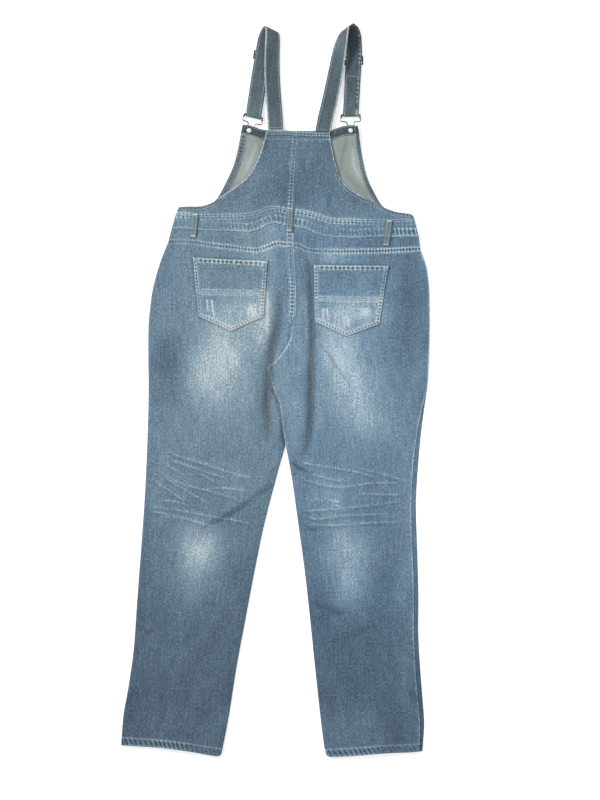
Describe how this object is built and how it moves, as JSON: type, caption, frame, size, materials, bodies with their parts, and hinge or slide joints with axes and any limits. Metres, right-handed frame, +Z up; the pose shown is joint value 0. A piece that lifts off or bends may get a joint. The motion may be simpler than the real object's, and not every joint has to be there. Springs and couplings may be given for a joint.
{
  "type": "denim dungarees laid flat, back up",
  "caption": "Full-length denim dungarees laid flat with the back up: legs, waistband, front and back bib, back patch pockets and shoulder straps hooked by wire buckles to bib buttons.",
  "frame": {"origin": "middle of the outline, on the surface that the dungarees lie on", "axes": "+Y from the leg hems to the shoulder straps, +Z up from the surface through the front layer to the back layer, +X towards the wearer's right"},
  "size_m": [0.6013, 1.4281, 0.0255],
  "materials": {
    "denim": "stonewashed indigo twill with faded thighs and knees, pale grey topstitching",
    "dark_denim": "darker, less washed indigo twill",
    "denim_inside_face": "pale grey-green wrong side of the twill",
    "wire_metal": "aged silver wire with brown corners",
    "button_metal": "bright round tack back"
  },
  "bodies": {
    "root": {"front_leg_left": "denim_inside_face", "front_leg_right": "denim_inside_face", "front_waistband": "denim", "front_bib": "denim_inside_face", "bib_top_facing": "dark_denim", "back_leg_left": "denim", "back_leg_right": "denim", "back_yoke_left": "denim", "back_yoke_right": "denim", "back_waistband": "denim", "back_bib_left": "denim", "back_bib_right": "denim", "back_bib_top_hem": "denim", "back_pocket_left": "denim", "back_pocket_right": "denim", "belt_loop_left": "denim", "belt_loop_centre": "denim", "belt_loop_right": "denim", "strap_left": "dark_denim", "strap_right": "dark_denim", "buckle_left": "wire_metal", "buckle_right": "wire_metal", "slider_left": "wire_metal", "slider_right": "wire_metal", "bib_button_left": "button_metal", "bib_button_right": "button_metal"}
  },
  "joints": []
}
